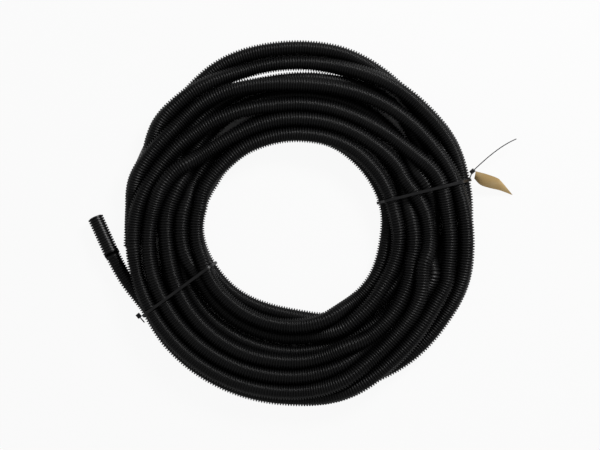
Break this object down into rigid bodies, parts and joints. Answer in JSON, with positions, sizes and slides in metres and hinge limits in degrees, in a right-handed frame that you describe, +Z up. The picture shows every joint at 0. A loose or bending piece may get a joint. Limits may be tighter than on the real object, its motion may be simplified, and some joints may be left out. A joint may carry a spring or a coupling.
{
  "type": "coil of corrugated conduit",
  "caption": "Flat-lying coil of black corrugated flexible conduit with an open eye, a hollow free end, cable ties round the turns and a small paper tag.",
  "frame": {"origin": "centre of the coil's eye, on the floor that the coil lies on", "axes": "+Z up along the coil's axis; +X towards the side of the tie with the long tail; +Y so that the free end leaves on the -X side"},
  "size_m": [0.5454, 0.456, 0.0383],
  "materials": {
    "conduit_plastic": "satin black extruded plastic, slightly waxy on the ridges",
    "tie_nylon": "smooth black nylon, semi-gloss",
    "kraft_card": "uncoated tan kraft card, blank"
  },
  "bodies": {
    "root": {"conduit_coil": "conduit_plastic", "conduit_free_end": "conduit_plastic", "cable_tie_long_tail": "tie_nylon", "cable_tie_trimmed": "tie_nylon", "paper_tag": "kraft_card"}
  },
  "joints": []
}
